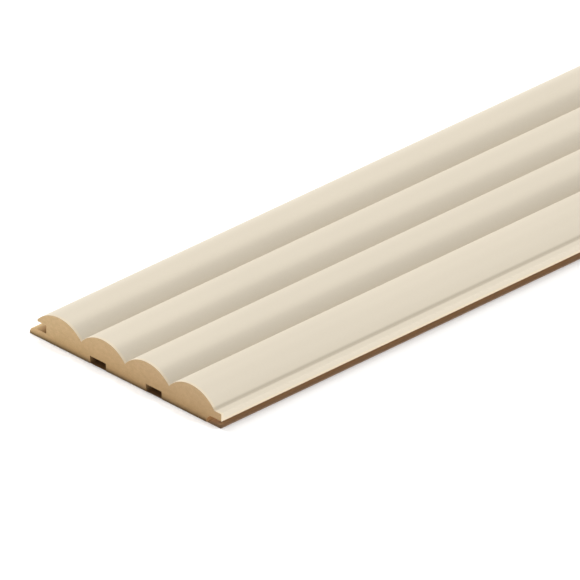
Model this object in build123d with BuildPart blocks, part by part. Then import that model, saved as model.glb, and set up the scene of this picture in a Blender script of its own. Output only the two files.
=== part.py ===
from build123d import *
from math import sqrt
import os

# Slat wall panel: one length of reeded tongue-and-groove moulding, lying face up. Sizes are in mm.
# The fibreboard profile is machined in one piece. One thin film wraps its reeds, the nose of its
# upper lip and the top and tip of its tongue. The back, the groove and the cut ends are bare.
# X runs across the reeds from the grooved edge to the tongued edge, Y runs along the panel, Z is up.
# The origin is on the back, at the middle of the length and of the overall width.

# Panel
panel_length = 2700.0
film_thickness = 0.25

# Reeded face
reed_count = 4
reed_pitch = 29.75
reed_depth = 6.6
nose_height = 1.0

# Tongued edge
tongue_reach = 4.7
tongue_thickness = 4.0
tongue_corner_radius = 0.25

# Grooved edge
lower_lip_reach = 5.3
lower_lip_thickness = 4.0
lower_lip_land = 0.4

# Gaps that are left when two panels are pushed together
joint_clearance = 0.2
tongue_end_gap = 1.3

# Relief channels in the back
relief_count = 2
relief_width = 10.8
relief_depth = 4.0
relief_spacing = 37.8

# Heights above the back
tongue_underside = lower_lip_thickness + joint_clearance
tongue_top = tongue_underside + tongue_thickness
groove_ceiling = tongue_top + joint_clearance
valley_height = groove_ceiling + nose_height
panel_thickness = valley_height + reed_depth

# Rounds
reed_radius = ((reed_pitch / 2) ** 2 + reed_depth**2) / (2 * reed_depth)
lower_lip_radius = lower_lip_thickness - lower_lip_land


def reed_reach(height, inset):
    """How far from its axis a reed is at a height, at a depth under the finished face."""
    return sqrt((reed_radius - inset) ** 2 - (height - panel_thickness + reed_radius) ** 2)


# Places across the panel. The last reed runs on past its half pitch, down to the top of the tongue.
cover_width = (reed_count - 0.5) * reed_pitch + reed_reach(tongue_top, 0)
overall_width = lower_lip_reach + cover_width + tongue_reach
lower_lip_x = -overall_width / 2
nose_x = lower_lip_x + lower_lip_reach
reed_foot_x = nose_x + cover_width
tongue_tip_x = reed_foot_x + tongue_reach
groove_back_x = nose_x + tongue_reach + tongue_end_gap
rebate_back_x = reed_foot_x - lower_lip_reach - joint_clearance
relief_middle_x = (nose_x + reed_foot_x) / 2


def reed_height(off_axis, inset):
    """Height of a reed at a distance from its axis, at a depth under the finished face."""
    return panel_thickness - reed_radius + sqrt((reed_radius - inset) ** 2 - off_axis**2)


def draw_reeds(inset):
    """Draws each reed as two arcs that meet at its crest, from the nose to the last reed's foot."""
    half_pitch = reed_pitch / 2
    foot_height = tongue_top - inset
    for n in range(reed_count):
        crest_x = nose_x + (n + 0.5) * reed_pitch
        left = half_pitch - inset if n == 0 else half_pitch
        right = reed_reach(foot_height, inset) if n == reed_count - 1 else half_pitch
        crest = (crest_x, panel_thickness - inset)
        TangentArc(crest, (crest_x - left, reed_height(left, inset)), tangent=(-1, 0))
        TangentArc(crest, (crest_x + right, reed_height(right, inset)), tangent=(1, 0))


def draw_face(inset):
    """Draws the wrapped line at a depth under the finished face, from the groove to the tongue's tip."""
    edge_height = reed_height(reed_pitch / 2 - inset, inset)
    Line((nose_x + inset, groove_ceiling), (nose_x + inset, edge_height))
    draw_reeds(inset)
    last_crest_x = nose_x + (reed_count - 0.5) * reed_pitch
    FilletPolyline(
        (last_crest_x + reed_reach(tongue_top - inset, inset), tongue_top - inset),
        (tongue_tip_x - inset, tongue_top - inset),
        (tongue_tip_x - inset, tongue_underside),
        radius=tongue_corner_radius + film_thickness - inset,
    )


# Fibreboard profile
with BuildPart() as mdf_core:
    with BuildSketch(Plane.XZ):
        with BuildLine():
            draw_face(film_thickness)
            # rebate under the tongue, with the round that clears the next panel's lower lip
            FilletPolyline(
                (tongue_tip_x - film_thickness, tongue_underside),
                (rebate_back_x, tongue_underside),
                (rebate_back_x, 0),
                radius=lower_lip_radius + joint_clearance,
            )
            Line((rebate_back_x, 0), (lower_lip_x, 0))
            # lower lip with its round nose
            FilletPolyline(
                (lower_lip_x, 0),
                (lower_lip_x, lower_lip_thickness),
                (groove_back_x, lower_lip_thickness),
                radius=lower_lip_radius,
            )
            # back and ceiling of the groove
            Polyline(
                (groove_back_x, lower_lip_thickness),
                (groove_back_x, groove_ceiling),
                (nose_x + film_thickness, groove_ceiling),
            )
        make_face()
        # relief channels
        with Locations((relief_middle_x, 0)):
            with GridLocations(relief_spacing, 0, relief_count, 1):
                Rectangle(relief_width, 2 * relief_depth, mode=Mode.SUBTRACT)
    extrude(amount=panel_length / 2, both=True)
mdf_core.part.label = "mdf_core"

# Wrapped film
with BuildPart() as face_film:
    with BuildSketch(Plane.XZ):
        with BuildLine():
            draw_face(0)
            draw_face(film_thickness)
            # cut edges under the nose of the upper lip and under the tongue's tip
            Line((nose_x, groove_ceiling), (nose_x + film_thickness, groove_ceiling))
            Line((tongue_tip_x, tongue_underside), (tongue_tip_x - film_thickness, tongue_underside))
        make_face()
    extrude(amount=panel_length / 2, both=True)
face_film.part.label = "face_film"

os.makedirs("parts", exist_ok=True)
for piece in (mdf_core, face_film):
    export_step(piece.part, f"parts/{piece.part.label}.step")
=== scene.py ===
import math

import bmesh
import bpy
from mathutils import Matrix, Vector
from mathutils.geometry import tessellate_polygon


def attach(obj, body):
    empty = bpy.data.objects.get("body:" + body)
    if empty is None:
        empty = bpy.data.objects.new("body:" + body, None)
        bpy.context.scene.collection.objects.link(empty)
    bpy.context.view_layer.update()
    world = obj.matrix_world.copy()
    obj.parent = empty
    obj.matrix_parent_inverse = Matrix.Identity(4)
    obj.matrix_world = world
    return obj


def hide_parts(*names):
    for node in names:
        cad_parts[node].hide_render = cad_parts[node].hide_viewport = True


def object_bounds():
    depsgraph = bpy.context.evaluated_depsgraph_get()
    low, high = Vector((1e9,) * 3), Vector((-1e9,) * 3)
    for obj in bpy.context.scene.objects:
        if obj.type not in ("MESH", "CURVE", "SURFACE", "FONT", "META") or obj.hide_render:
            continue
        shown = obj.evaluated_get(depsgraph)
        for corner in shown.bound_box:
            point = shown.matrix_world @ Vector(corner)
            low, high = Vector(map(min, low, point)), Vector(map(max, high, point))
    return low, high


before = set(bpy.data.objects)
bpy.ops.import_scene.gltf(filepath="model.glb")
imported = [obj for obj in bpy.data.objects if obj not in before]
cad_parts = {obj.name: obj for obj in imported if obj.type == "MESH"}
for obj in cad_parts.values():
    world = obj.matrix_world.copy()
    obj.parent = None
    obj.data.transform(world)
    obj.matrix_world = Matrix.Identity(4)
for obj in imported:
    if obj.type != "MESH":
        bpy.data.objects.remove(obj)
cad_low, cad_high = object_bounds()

# Looks of the slat wall panel, in metres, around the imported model.
# The two pieces are rebuilt here with fine arcs, softened cut edges and their finishes.

MM = 0.001

# Sizes of the profile, as the solids have them
REED_COUNT = 4
REED_PITCH = 29.75 * MM
FILM_THICKNESS = 0.25 * MM
TONGUE_CORNER_RADIUS = 0.25 * MM
LOWER_LIP_THICKNESS = 4.0 * MM
LOWER_LIP_LAND = 0.4 * MM
LOWER_LIP_REACH = 5.3 * MM
TONGUE_REACH = 4.7 * MM
TONGUE_THICKNESS = 4.0 * MM
TONGUE_END_GAP = 1.3 * MM
JOINT_CLEARANCE = 0.2 * MM
NOSE_HEIGHT = 1.0 * MM
RELIEF_WIDTH = 10.8 * MM
RELIEF_DEPTH = 4.0 * MM
RELIEF_SPACING = 37.8 * MM

# Places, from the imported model's box
LIP_X, NEAR_Y, BACK_Z = cad_low
TIP_X, FAR_Y, CREST_Z = cad_high
NOSE_X = LIP_X + LOWER_LIP_REACH
FOOT_X = TIP_X - TONGUE_REACH
RELIEF_X = (NOSE_X + FOOT_X) / 2
GROOVE_BACK_X = NOSE_X + TONGUE_REACH + TONGUE_END_GAP
REBATE_BACK_X = FOOT_X - LOWER_LIP_REACH - JOINT_CLEARANCE
LIP_TOP_Z = BACK_Z + LOWER_LIP_THICKNESS
TONGUE_UNDERSIDE_Z = LIP_TOP_Z + JOINT_CLEARANCE
TONGUE_TOP_Z = TONGUE_UNDERSIDE_Z + TONGUE_THICKNESS
GROOVE_CEILING_Z = TONGUE_TOP_Z + JOINT_CLEARANCE
VALLEY_Z = GROOVE_CEILING_Z + NOSE_HEIGHT
REED_DEPTH = CREST_Z - VALLEY_Z
REED_RADIUS = ((REED_PITCH / 2) ** 2 + REED_DEPTH**2) / (2 * REED_DEPTH)
REED_AXIS_Z = CREST_Z - REED_RADIUS
LOWER_LIP_RADIUS = LOWER_LIP_THICKNESS - LOWER_LIP_LAND

# Fineness of the meshes: steps in each arc and along the panel
REED_STEPS = 48
LIP_STEPS = 16
CORNER_STEPS = 8
LENGTH_STEPS = 54
EDGE_SOFTENING = 0.06 * MM
SHARP_ANGLE = math.radians(24)
# Points of an outline that are nearer to each other than this count as one
SAME_POINT = 0.001 * MM
# Least cosine of half a corner's turn, so that no sharp corner moves too far when it is softened
LEAST_TURN_COSINE = 0.5

# Colours
FILM_COLOUR = (0.56, 0.5, 0.4)
FILM_EDGE_COLOUR = (0.62, 0.5, 0.36)
FIBREBOARD_LIGHT = (0.573, 0.394, 0.212)
FIBREBOARD_DARK = (0.516, 0.351, 0.179)
FLOOR_COLOUR = (0.98, 0.98, 0.98)
NO_TINT = (1.0, 1.0, 1.0)

# Noises in the finishes: width of a grain, detail, and how far the grain is squashed on each axis
CLUMPS = (2.2 * MM, 4, (1, 1, 1.6))
FIBRES = (0.35 * MM, 5, (1, 1, 2.4))
FLECKS = (0.7 * MM, 2, (1, 1, 3.5))
GRAIN = (0.5 * MM, 3, (1, 0.35, 1))
CLOUDS = (60 * MM, 2, (1, 0.3, 1))
# The part of each noise that is spread over a range of tones: its middle, or its low tail for flecks
NOISE_MIDDLE = (0.3, 0.7)
GRAIN_MIDDLE = (0.25, 0.75)
CLOUD_MIDDLE = (0.35, 0.65)
FLECK_TAIL = (0.26, 0.36)

# Fibreboard: tones, roughness and gloss, and the strength and depth of its fibres' relief
FIBRE_TONES = (0.9, 1.1)
FLECK_TONES = (0.82, 1.0)
FIBREBOARD_ROUGHNESS = (0.8, 0.92)
FIBREBOARD_GLOSS = 0.25
FIBRE_RELIEF = (0.35, 0.06 * MM)

# Film: tones, roughness and gloss, and the strength and depth of its grain's relief
GRAIN_TONES = (0.985, 1.015)
CLOUD_TONES = (0.98, 1.02)
FILM_ROUGHNESS = (0.5, 0.58)
FILM_GLOSS = 0.35
GRAIN_RELIEF = (0.12, 0.03 * MM)

# Floor
FLOOR_ROUGHNESS = 0.9
FLOOR_GLOSS = 0.0
FLOOR_REACH = 7.0

# Tones that the fibreboard's colour is multiplied by, as (place, tone) pairs
# Cut ends, by height: painted shade, darkest at the back where the cut end meets the floor and paler up
# to the crest
END_HEIGHT_SHADE = (
    (BACK_Z, (0.3, 0.28, 0.25)),
    (BACK_Z + 0.9 * MM, (0.38, 0.35, 0.29)),
    (BACK_Z + 1.4 * MM, (0.6, 0.55, 0.48)),
    (BACK_Z + 2.0 * MM, (0.77, 0.72, 0.64)),
    (BACK_Z + 3.0 * MM, (0.94, 0.89, 0.8)),
    (BACK_Z + 4.5 * MM, (1.0, 0.97, 0.9)),
    (BACK_Z + 7.2 * MM, (1.05, 1.03, 1.0)),
    (CREST_Z, (1.15, 1.17, 1.2)),
)
# Cut ends, by place across: painted light, paler towards the lip
END_WIDTH_LIGHT = (
    (LIP_X, (1.13, 1.15, 1.16)),
    (NOSE_X + 8 * MM, (1.1, 1.13, 1.15)),
    (NOSE_X + 30 * MM, (1.03, 1.03, 1.02)),
    (RELIEF_X, (0.99, 0.98, 0.98)),
    (FOOT_X - 30 * MM, (0.93, 0.92, 0.93)),
    (TIP_X, (0.93, 0.92, 0.93)),
)
# The lower lip's cut end, by height, with painted light: it is paler than the rest, into which it fades
# across
LIP_END_LIGHT = (
    (BACK_Z, (1.15, 1.15, 1.15)),
    (BACK_Z + 1.0 * MM, (1.29, 1.32, 1.38)),
    (BACK_Z + 2.0 * MM, (1.35, 1.37, 1.43)),
    (BACK_Z + 3.0 * MM, (1.22, 1.24, 1.32)),
    (LIP_TOP_Z, (1.1, 1.12, 1.18)),
    (GROOVE_CEILING_Z, (1.0, 1.0, 1.0)),
)
LIP_END_FADE = (LIP_X + 3 * MM, NOSE_X + 12 * MM)
# Long sides: the back, the relief channels and the rebate each have one tone; those of the channels and
# the rebate are painted shade
BACK_TONE = (0.82, 0.76, 0.66)
CHANNEL_SHADE = (0.55, 0.46, 0.36)
REBATE_SHADE = (0.55, 0.42, 0.3)
# The lower lip and the groove, by place across: painted shade, darkest deep in the groove
GROOVE_SHADES = (
    (LIP_X, (1.0, 1.04, 1.07)),
    (NOSE_X - 1.4 * MM, (0.98, 1.02, 1.04)),
    (NOSE_X, (0.86, 0.8, 0.73)),
    (NOSE_X + 1.6 * MM, (0.78, 0.72, 0.63)),
    (GROOVE_BACK_X - 2.5 * MM, (0.62, 0.54, 0.42)),
    (GROOVE_BACK_X, (0.42, 0.33, 0.2)),
)
# Where one tone gives way to the next: a step across, two heights, two distances from a cut end
TONE_STEP = 0.1 * MM
BACK_FADE = (BACK_Z, BACK_Z + 0.3 * MM)
END_FADE = (EDGE_SOFTENING, 2 * EDGE_SOFTENING)

# Painted shade and light on the film across the last reed and the tongue: painted shade darkest in the
# crease between them, and a little paler on the tongue's top
FILM_SHADE_AND_LIGHT = (
    (FOOT_X - 14 * MM, 1.0),
    (FOOT_X - 6.2 * MM, 0.95),
    (FOOT_X - 3.5 * MM, 0.92),
    (FOOT_X - 1.6 * MM, 0.92),
    (FOOT_X - 1.15 * MM, 0.89),
    (FOOT_X - 0.85 * MM, (0.77, 0.765, 0.75)),
    (FOOT_X - 0.5 * MM, (0.675, 0.665, 0.65)),
    (FOOT_X - 0.15 * MM, (0.775, 0.765, 0.75)),
    (FOOT_X + 0.15 * MM, (0.88, 0.87, 0.86)),
    (FOOT_X + 0.5 * MM, 0.93),
    (FOOT_X + 1.1 * MM, 1.06),
    (TIP_X - 0.25 * MM, 1.065),
    (TIP_X, 0.985),
)
# A painted highlight: the film is paler and warmer up to the first distance from its cut edges, and no
# more by the second
FILM_EDGE_HIGHLIGHT = (1.1, 1.05, 0.96)
FILM_EDGE_FADE = (0.8 * MM, 1.7 * MM)

# The painted shade on the floor lies inside the panel's footprint, this far in from its edges and ends
SHADE_INSET = 0.75 * MM
SHADE_END_INSET = 0.3 * MM
# Colours of the painted shade, by place across: dark under the board, then pale, and dark at the outer
# edge
SHADE_PALE_X = REBATE_BACK_X + 0.4 * MM
SHADE_COLOURS = (
    (LIP_X, (0.28, 0.16, 0.07)),
    (REBATE_BACK_X, (0.28, 0.16, 0.07)),
    (SHADE_PALE_X, (0.9, 0.66, 0.42)),
    (REBATE_BACK_X + 4 * MM, (0.84, 0.61, 0.38)),
    (FOOT_X + 1 * MM, (0.84, 0.61, 0.37)),
    (FOOT_X + 2 * MM, (0.72, 0.5, 0.3)),
    (FOOT_X + 3 * MM, (0.5, 0.34, 0.21)),
    (TIP_X - SHADE_INSET, (0.34, 0.23, 0.155)),
    (TIP_X, (0.34, 0.23, 0.155)),
)
# Tones of the painted shade under the tongue, by distance from the nearer cut end
SHADE_END_TONES = (
    (0.0, 0.42),
    (0.8 * MM, 0.5),
    (1.5 * MM, 0.62),
    (2.2 * MM, 0.78),
    (3.2 * MM, 1.0),
)

# Camera: the photograph is a parallel view, so the camera stands far off with a long lens.
# Angles are in degrees, and half the view's angle gives the lens. The sensor is in millimetres.
HALF_VIEW = 0.6437
SENSOR_WIDTH = 36.0
VIEW_AZIMUTH = 45.849
VIEW_ELEVATION = 28.894
VIEW_DISTANCE = 12.0
VIEW_REACH = 120.0
AIM = Vector((TIP_X + 46.02 * MM, NEAR_Y, BACK_Z + 92.75 * MM))

# Studio light: the surroundings' strength, then each lamp's name, azimuth, elevation, strength and
# angular size, with angles in degrees
WORLD_STRENGTH = 0.41
LAMPS = (
    ("overhead", 0, 90, 0.55, 12),
    ("left_high", 270, 45, 1.13, 14),
    ("left_low", 270, 18, 1.25, 12),
    ("right_skimming", 90, 3.5, 1.32, 5),
    ("right_low", 90, 6.5, 0.45, 9),
    ("back_left", 225, 60, 0.49, 14),
    ("back_right", 135, 60, 0.91, 14),
)


def arc(centre_x, centre_z, radius, start, end, steps):
    """Points along an arc, ends included, with angles in degrees from +X towards +Z."""
    points = []
    for n in range(steps + 1):
        angle = math.radians(start + (end - start) * n / steps)
        points.append((centre_x + radius * math.cos(angle), centre_z + radius * math.sin(angle)))
    return points


def reed_points(number, inset):
    """One reed's arc at a depth under the finished face, from its left valley to its right one.

    The last reed runs on past its half pitch, down to the top of the tongue.
    """
    axis_x = NOSE_X + (number + 0.5) * REED_PITCH
    radius = REED_RADIUS - inset
    left = REED_PITCH / 2 - (inset if number == 0 else 0)
    start = 180 - math.degrees(math.acos(left / radius))
    end = math.degrees(math.acos(REED_PITCH / 2 / radius))
    if number == REED_COUNT - 1:
        end = math.degrees(math.asin((TONGUE_TOP_Z - inset - REED_AXIS_Z) / radius))
    return arc(axis_x, REED_AXIS_Z, radius, start, end, REED_STEPS)


def face_points(inset):
    """The wrapped line at a depth under the finished face, from the groove to the tongue's tip."""
    points = [(NOSE_X + inset, GROOVE_CEILING_Z)]
    for number in range(REED_COUNT):
        reed = reed_points(number, inset)
        points += reed if number == 0 else reed[1:]
    corner = TONGUE_CORNER_RADIUS + FILM_THICKNESS - inset
    corner_x, corner_z = TIP_X - inset - corner, TONGUE_TOP_Z - inset - corner
    points += arc(corner_x, corner_z, corner, 90, 0, CORNER_STEPS)
    points.append((TIP_X - inset, TONGUE_UNDERSIDE_Z))
    return points


def core_points():
    """The fibreboard's outline, clockwise as seen from the near end, without the film."""
    points = face_points(FILM_THICKNESS)
    # rebate, with the cove that clears the next panel's lower lip
    cove = LOWER_LIP_RADIUS + JOINT_CLEARANCE
    points += arc(REBATE_BACK_X + cove, TONGUE_UNDERSIDE_Z - cove, cove, 90, 180, LIP_STEPS)
    points.append((REBATE_BACK_X, BACK_Z))
    # relief channels in the back
    for side in (1, -1):
        middle = RELIEF_X + side * RELIEF_SPACING / 2
        for x, z in ((1, 0), (1, 1), (-1, 1), (-1, 0)):
            points.append((middle + x * RELIEF_WIDTH / 2, BACK_Z + z * RELIEF_DEPTH))
    # lower lip with its round nose, and the groove
    points.append((LIP_X, BACK_Z))
    round_x, round_z = LIP_X + LOWER_LIP_RADIUS, LIP_TOP_Z - LOWER_LIP_RADIUS
    points += arc(round_x, round_z, LOWER_LIP_RADIUS, 180, 90, LIP_STEPS)
    points += [(GROOVE_BACK_X, LIP_TOP_Z), (GROOVE_BACK_X, GROOVE_CEILING_Z)]
    return points


def film_points():
    """The film's outline: the finished face one way and its glued side back again."""
    return face_points(0) + face_points(FILM_THICKNESS)[::-1]


def without_repeats(points):
    """A closed outline without the points that lie where the one before them does."""
    return [here for n, here in enumerate(points) if math.dist(here, points[n - 1]) > SAME_POINT]


def shrunk(points, amount):
    """A closed clockwise outline with every side moved inwards."""
    moved = []
    count = len(points)
    for n in range(count):
        before, here, after = (Vector(points[(n + step) % count]) for step in (-1, 0, 1))
        first, second = (here - before).normalized(), (after - here).normalized()
        inward = Vector((first.y + second.y, -first.x - second.x)).normalized()
        cosine = max(LEAST_TURN_COSINE, inward.dot(Vector((first.y, -first.x))))
        moved.append(tuple(here + inward * (amount / cosine)))
    return moved


def profile_mesh(name, points, end_finish):
    """A closed mesh of an outline drawn along the whole panel, with its cut edges softened."""
    outline = without_repeats(points)
    end_outline = shrunk(outline, EDGE_SOFTENING)
    start, end = NEAR_Y + EDGE_SOFTENING, FAR_Y - EDGE_SOFTENING
    sections = [(NEAR_Y, end_outline)]
    for n in range(LENGTH_STEPS + 1):
        share = n / LENGTH_STEPS
        sections.append((start + (end - start) * share, outline))
    sections.append((FAR_Y, end_outline))

    shape = bmesh.new()
    rows = [[shape.verts.new((x, y, z)) for x, z in section] for y, section in sections]
    for near, far in zip(rows, rows[1:]):
        for n in range(len(outline)):
            shape.faces.new((near[n - 1], far[n - 1], far[n], near[n]))
    for corners in tessellate_polygon([[Vector((x, z, 0)) for x, z in end_outline]]):
        shape.faces.new([rows[0][n] for n in corners]).material_index = end_finish
        shape.faces.new([rows[-1][n] for n in reversed(corners)]).material_index = end_finish
    bmesh.ops.recalc_face_normals(shape, faces=shape.faces)

    mesh = bpy.data.meshes.new(name)
    shape.to_mesh(mesh)
    shape.free()
    mesh.set_sharp_from_angle(angle=SHARP_ANGLE)
    return mesh


def add_object(name, data):
    """A new object in the scene."""
    added = bpy.data.objects.new(name, data)
    bpy.context.scene.collection.objects.link(added)
    return added


def add_piece(name, points, node, finishes):
    """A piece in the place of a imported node. The last of its finishes is on its cut ends."""
    piece = add_object(name, profile_mesh(name, points, len(finishes) - 1))
    for finish in finishes:
        piece.data.materials.append(finish)
    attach(piece, "root")
    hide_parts(node)


class Nodes:
    """A material's node tree, with short calls to add nodes and join them."""

    # Sockets of a Mix node for colours: its share and two colours, and the mixed colour
    MIX_INPUTS = (0, 6, 7)
    MIX_RESULT = 2

    def __init__(self, name):
        self.material = bpy.data.materials.new(name)
        self.material.use_nodes = True
        self.tree = self.material.node_tree
        self.shader = self.tree.nodes["Principled BSDF"]
        self.place = self.add("ShaderNodeTexCoord").outputs["Object"]
        split = self.add("ShaderNodeSeparateXYZ")
        self.put(self.place, split.inputs["Vector"])
        self.across, self.along, self.height = split.outputs

    def add(self, kind, **settings):
        """A new node with its settings."""
        node = self.tree.nodes.new(kind)
        for key, value in settings.items():
            setattr(node, key, value)
        return node

    def put(self, value, socket):
        """Puts a number, a colour or another node's output into a socket."""
        if isinstance(value, bpy.types.NodeSocket):
            self.tree.links.new(value, socket)
        elif isinstance(value, tuple):
            socket.default_value = (*value, 1)
        else:
            socket.default_value = value

    def noise(self, width, detail, squash):
        """Noise from 0 to 1, with grains about so many metres wide where they aren't squashed."""
        mapping = self.add("ShaderNodeMapping")
        mapping.inputs["Scale"].default_value = squash
        self.put(self.place, mapping.inputs["Vector"])
        node = self.add("ShaderNodeTexNoise")
        self.put(mapping.outputs["Vector"], node.inputs["Vector"])
        self.put(1 / width, node.inputs["Scale"])
        self.put(detail, node.inputs["Detail"])
        return node.outputs["Fac"]

    def ranged(self, value, source, target):
        """A value moved from one range to another, clamped to the second."""
        node = self.add("ShaderNodeMapRange")
        self.put(value, node.inputs["Value"])
        for name, number in zip(("From Min", "From Max", "To Min", "To Max"), (*source, *target)):
            self.put(number, node.inputs[name])
        return node.outputs["Result"]

    def maths(self, operation, first, second):
        """The result of an operation on two numbers or other nodes' outputs."""
        node = self.add("ShaderNodeMath", operation=operation)
        self.put(first, node.inputs[0])
        self.put(second, node.inputs[1])
        return node.outputs["Value"]

    def mixed(self, share, first, second, blend="MIX"):
        """Two colours mixed by a share, each a colour or another node's output."""
        node = self.add("ShaderNodeMix", data_type="RGBA", blend_type=blend)
        for number, value in zip(self.MIX_INPUTS, (share, first, second)):
            self.put(value, node.inputs[number])
        return node.outputs[self.MIX_RESULT]

    def multiplied(self, *colours):
        """Colours multiplied together."""
        product = colours[0]
        for colour in colours[1:]:
            product = self.mixed(1.0, product, colour, blend="MULTIPLY")
        return product

    def ramp(self, value, stops):
        """A colour ramp through (place, colour) stops, where a colour may be one number for a grey."""
        node = self.add("ShaderNodeValToRGB")
        elements = node.color_ramp.elements
        while len(elements) < len(stops):
            elements.new(1.0)
        first, last = stops[0][0], stops[-1][0]
        for element, (place, colour) in zip(elements, stops):
            element.position = (place - first) / (last - first)
            element.color = (*colour, 1) if isinstance(colour, tuple) else (colour, colour, colour, 1)
        self.put(self.ranged(value, (first, last), (0, 1)), node.inputs["Fac"])
        return node.outputs["Color"]

    def from_ends(self):
        """The distance to the nearer cut end."""
        near = self.maths("SUBTRACT", self.along, NEAR_Y)
        far = self.maths("SUBTRACT", FAR_Y, self.along)
        return self.maths("MINIMUM", near, far)

    def bump(self, height, strength, distance):
        """Fine relief on the surface."""
        node = self.add("ShaderNodeBump")
        self.put(height, node.inputs["Height"])
        self.put(strength, node.inputs["Strength"])
        self.put(distance, node.inputs["Distance"])
        self.put(node.outputs["Normal"], self.shader.inputs["Normal"])

    def finish(self, colour, roughness, gloss):
        """The material, with its colour, roughness and strength of gloss on its shader."""
        self.put(colour, self.shader.inputs["Base Color"])
        self.put(roughness, self.shader.inputs["Roughness"])
        self.put(gloss, self.shader.inputs["Specular IOR Level"])
        return self.material


def side_tones():
    """Tones of the fibreboard's long sides, by place across, from the lower lip to the tongue's tip, with
    painted shade in the groove, the relief channels and the rebate.
    """
    tones = [*GROOVE_SHADES, (GROOVE_BACK_X + TONE_STEP, BACK_TONE)]
    for side in (-1, 1):
        middle = RELIEF_X + side * RELIEF_SPACING / 2
        left, right = middle - RELIEF_WIDTH / 2, middle + RELIEF_WIDTH / 2
        tones += [(left - TONE_STEP, BACK_TONE), (left, CHANNEL_SHADE)]
        tones += [(right, CHANNEL_SHADE), (right + TONE_STEP, BACK_TONE)]
    tones += [(REBATE_BACK_X - TONE_STEP, BACK_TONE), (REBATE_BACK_X, REBATE_SHADE), (TIP_X, REBATE_SHADE)]
    return tones


def fibreboard_material():
    """Bare fibreboard: fine felted fibres, with other tones on its cut ends than on its long sides, and
    painted shade and light on both.
    """
    nodes = Nodes("fibreboard")
    clumps = nodes.noise(*CLUMPS)
    fibres = nodes.noise(*FIBRES)
    flecks = nodes.noise(*FLECKS)
    fibre_tone = nodes.ranged(fibres, NOISE_MIDDLE, FIBRE_TONES)
    fleck_tone = nodes.ranged(flecks, FLECK_TAIL, FLECK_TONES)
    speckle = nodes.maths("MULTIPLY", fibre_tone, fleck_tone)
    clump_share = nodes.ranged(clumps, NOISE_MIDDLE, (0, 1))
    board = nodes.mixed(clump_share, FIBREBOARD_DARK, FIBREBOARD_LIGHT)
    # cut ends, with painted shade and light
    lip_share = nodes.ranged(nodes.across, LIP_END_FADE, (1, 0))
    lip_light = nodes.mixed(lip_share, NO_TINT, nodes.ramp(nodes.height, LIP_END_LIGHT))
    width_light = nodes.ramp(nodes.across, END_WIDTH_LIGHT)
    end_tone = nodes.multiplied(nodes.ramp(nodes.height, END_HEIGHT_SHADE), width_light, lip_light)
    # long sides, with painted shade in the groove, the relief channels and the rebate
    back_share = nodes.ranged(nodes.height, BACK_FADE, (1, 0))
    side_tone = nodes.mixed(back_share, nodes.ramp(nodes.across, side_tones()), BACK_TONE)
    side_share = nodes.ranged(nodes.from_ends(), END_FADE, (0, 1))
    tone = nodes.mixed(side_share, end_tone, side_tone)
    nodes.bump(fibres, *FIBRE_RELIEF)
    roughness = nodes.ranged(clumps, NOISE_MIDDLE, FIBREBOARD_ROUGHNESS)
    return nodes.finish(nodes.multiplied(board, speckle, tone), roughness, FIBREBOARD_GLOSS)


def film_material(name, colour):
    """The cream film: an even satin skin with a faint grain drawn out along the panel, with painted shade
    in the crease by the tongue and a painted highlight along its cut edges.
    """
    nodes = Nodes(name)
    grain = nodes.noise(*GRAIN)
    clouds = nodes.noise(*CLOUDS)
    deeper, paler = (tuple(part * tone for part in colour) for tone in CLOUD_TONES)
    clouded = nodes.mixed(nodes.ranged(clouds, CLOUD_MIDDLE, (0, 1)), deeper, paler)
    grain_tone = nodes.ranged(grain, GRAIN_MIDDLE, GRAIN_TONES)
    # painted shade in the crease and painted light on the tongue's top
    crease_shade_and_light = nodes.ramp(nodes.across, FILM_SHADE_AND_LIGHT)
    # painted highlight along the film's cut edges
    above_edge = nodes.maths("SUBTRACT", nodes.height, TONGUE_UNDERSIDE_Z)
    from_edge = nodes.maths("MINIMUM", nodes.from_ends(), above_edge)
    edge_share = nodes.ranged(from_edge, FILM_EDGE_FADE, (1, 0))
    edge_highlight = nodes.mixed(edge_share, NO_TINT, FILM_EDGE_HIGHLIGHT)
    nodes.bump(grain, *GRAIN_RELIEF)
    roughness = nodes.ranged(grain, NOISE_MIDDLE, FILM_ROUGHNESS)
    return nodes.finish(nodes.multiplied(clouded, grain_tone, crease_shade_and_light, edge_highlight), roughness, FILM_GLOSS)


def pale_floor_material():
    """The floor's one plain pale colour."""
    return Nodes("floor_pale").finish(FLOOR_COLOUR, FLOOR_ROUGHNESS, FLOOR_GLOSS)


def shade_material():
    """The floor's painted brown shade, which also darkens towards the cut ends where it lies under the
    tongue.
    """
    nodes = Nodes("floor_shade")
    tongue_share = nodes.ranged(nodes.across, (REBATE_BACK_X, SHADE_PALE_X), (0, 1))
    end_tone = nodes.mixed(tongue_share, NO_TINT, nodes.ramp(nodes.from_ends(), SHADE_END_TONES))
    colour = nodes.multiplied(nodes.ramp(nodes.across, SHADE_COLOURS), end_tone)
    return nodes.finish(colour, FLOOR_ROUGHNESS, FLOOR_GLOSS)


def floor_rectangle(left, near, right, far):
    """The corners of a rectangle on the floor, anticlockwise as seen from above."""
    return [(x, y, BACK_Z) for x, y in ((left, near), (right, near), (right, far), (left, far))]


def add_floor():
    """A plain pale floor, with a rectangle of painted brown shade inside the panel's footprint."""
    left, right = LIP_X + SHADE_INSET, TIP_X - SHADE_INSET
    near, far = NEAR_Y + SHADE_END_INSET, FAR_Y - SHADE_END_INSET
    shade = floor_rectangle(left, near, right, far)
    edge = floor_rectangle(-FLOOR_REACH, -FLOOR_REACH, FLOOR_REACH, FLOOR_REACH)
    # the shade's face comes first, then one face of the floor beside each of its sides
    count = len(shade)
    faces = [tuple(range(count))]
    for n in range(count):
        after = (n + 1) % count
        faces.append((n + count, after + count, after, n))
    mesh = bpy.data.meshes.new("floor")
    mesh.from_pydata(shade + edge, [], faces)
    mesh.materials.append(pale_floor_material())
    mesh.materials.append(shade_material())
    mesh.polygons[0].material_index = 1
    floor = add_object("floor", mesh)


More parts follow.
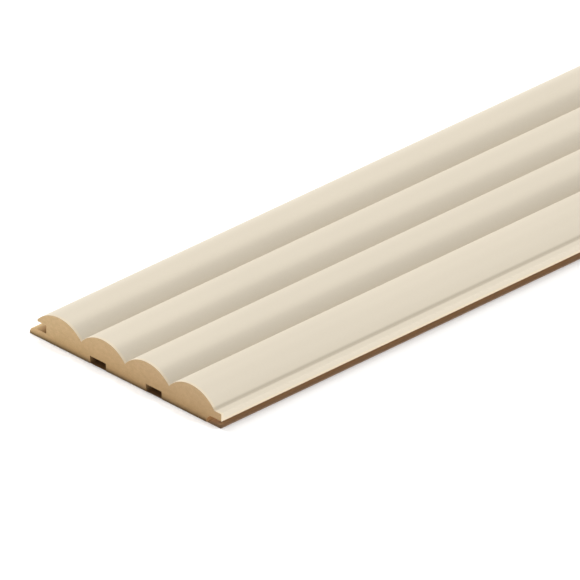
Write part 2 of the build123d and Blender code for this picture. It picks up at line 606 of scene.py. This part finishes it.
def direction(azimuth, elevation):
    """The way out from the panel, with azimuth 0 at its near end and 90 at its tongue, in degrees."""
    turn, rise = math.radians(azimuth), math.radians(elevation)
    return Vector((math.sin(turn) * math.cos(rise), -math.cos(turn) * math.cos(rise), math.sin(rise)))


def add_camera():
    """The photograph's camera."""
    data = bpy.data.cameras.new("camera")
    data.sensor_width = SENSOR_WIDTH
    data.lens = SENSOR_WIDTH / 2 / math.tan(math.radians(HALF_VIEW))
    data.clip_end = VIEW_REACH
    camera = add_object("camera", data)
    back = direction(VIEW_AZIMUTH, VIEW_ELEVATION)
    camera.location = AIM + back * VIEW_DISTANCE
    camera.rotation_euler = (-back).to_track_quat("-Z", "Y").to_euler()
    bpy.context.scene.camera = camera


def add_sun(name, azimuth, elevation, strength, angle):
    """A distant soft lamp."""
    data = bpy.data.lights.new(name, "SUN")
    data.energy = strength
    data.angle = math.radians(angle)
    lamp = add_object(name, data)
    lamp.rotation_euler = direction(azimuth, elevation).to_track_quat("Z", "Y").to_euler()


def set_world(strength):
    """White surroundings that light softly and are seen as pale as the floor."""
    world = bpy.data.worlds.new("studio")
    world.use_nodes = True
    tree = world.node_tree
    background = tree.nodes["Background"]
    background.inputs["Color"].default_value = (1, 1, 1, 1)
    seen = tree.nodes.new("ShaderNodeLightPath").outputs["Is Camera Ray"]
    strengths = tree.nodes.new("ShaderNodeMapRange")
    strengths.inputs["To Min"].default_value = strength
    strengths.inputs["To Max"].default_value = 1.0
    tree.links.new(seen, strengths.inputs["Value"])
    tree.links.new(strengths.outputs["Result"], background.inputs["Strength"])
    bpy.context.scene.world = world


add_camera()
set_world(WORLD_STRENGTH)
for lamp in LAMPS:
    add_sun(*lamp)
bpy.context.scene.view_settings.view_transform = "Standard"
add_floor()
add_piece("fibreboard_profile", core_points(), "mdf_core", [fibreboard_material()])
film_finishes = [film_material("film", FILM_COLOUR), film_material("film_cut_edge", FILM_EDGE_COLOUR)]
add_piece("wrapped_film", film_points(), "face_film", film_finishes)
